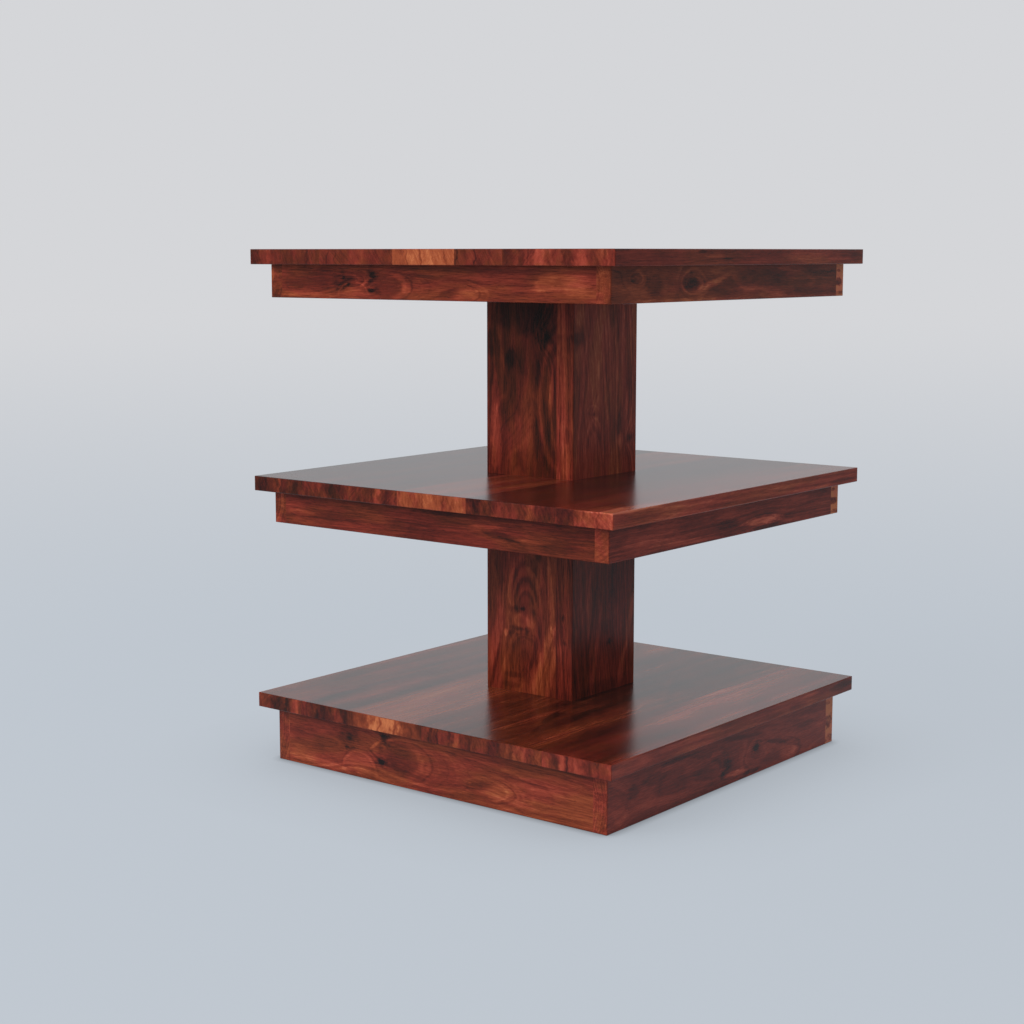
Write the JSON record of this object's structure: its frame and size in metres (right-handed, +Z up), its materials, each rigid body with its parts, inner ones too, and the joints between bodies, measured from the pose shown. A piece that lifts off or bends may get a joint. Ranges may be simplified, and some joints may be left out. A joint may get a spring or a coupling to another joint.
{
  "type": "nightstand",
  "caption": "Open square wooden nightstand: framed top, shelf and base trays carried on a hollow square centre column.",
  "frame": {"origin": "floor point under the centre of the square base", "axes": "+Z up, front towards -Y, right side towards +X"},
  "size_m": [0.46, 0.46, 0.5405],
  "materials": {
    "panel_wood": "glossy clear lacquer over reddish brown hardwood with dark streaks",
    "apron_wood": "glossy clear lacquer over reddish brown hardwood with knots",
    "column_wood": "glossy clear lacquer over dark reddish brown hardwood",
    "inner_wood": "sawn and left bare",
    "screw_steel": "zinc plated"
  },
  "bodies": {
    "root": {"base_back_apron": "apron_wood", "base_corner_blocks": "inner_wood", "base_corner_screws": "screw_steel", "base_foot_screws": "screw_steel", "base_front_apron": "apron_wood", "base_left_apron": "apron_wood", "base_mounting_plate": "inner_wood", "base_plate_screws": "screw_steel", "base_right_apron": "apron_wood", "base_stave_1": "panel_wood", "base_stave_2": "panel_wood", "base_stave_3": "panel_wood", "base_stave_4": "panel_wood", "base_stave_5": "panel_wood", "base_stave_6": "panel_wood", "lower_column_back": "column_wood", "lower_column_foot_block": "inner_wood", "lower_column_front": "column_wood", "lower_column_head_block": "inner_wood", "lower_column_left": "column_wood", "lower_column_right": "column_wood", "middle_back_apron": "apron_wood", "middle_corner_blocks": "inner_wood", "middle_corner_screws": "screw_steel", "middle_foot_screws": "screw_steel", "middle_front_apron": "apron_wood", "middle_head_screws": "screw_steel", "middle_left_apron": "apron_wood", "middle_mounting_plate": "inner_wood", "middle_plate_screws": "screw_steel", "middle_right_apron": "apron_wood", "middle_stave_1": "panel_wood", "middle_stave_2": "panel_wood", "middle_stave_3": "panel_wood", "middle_stave_4": "panel_wood", "middle_stave_5": "panel_wood", "middle_stave_6": "panel_wood", "top_back_apron": "apron_wood", "top_corner_blocks": "inner_wood", "top_corner_screws": "screw_steel", "top_front_apron": "apron_wood", "top_head_screws": "screw_steel", "top_left_apron": "apron_wood", "top_mounting_plate": "inner_wood", "top_plate_screws": "screw_steel", "top_right_apron": "apron_wood", "top_stave_1": "panel_wood", "top_stave_2": "panel_wood", "top_stave_3": "panel_wood", "top_stave_4": "panel_wood", "top_stave_5": "panel_wood", "top_stave_6": "panel_wood", "upper_column_back": "column_wood", "upper_column_foot_block": "inner_wood", "upper_column_front": "column_wood", "upper_column_head_block": "inner_wood", "upper_column_left": "column_wood", "upper_column_right": "column_wood"}
  },
  "joints": []
}
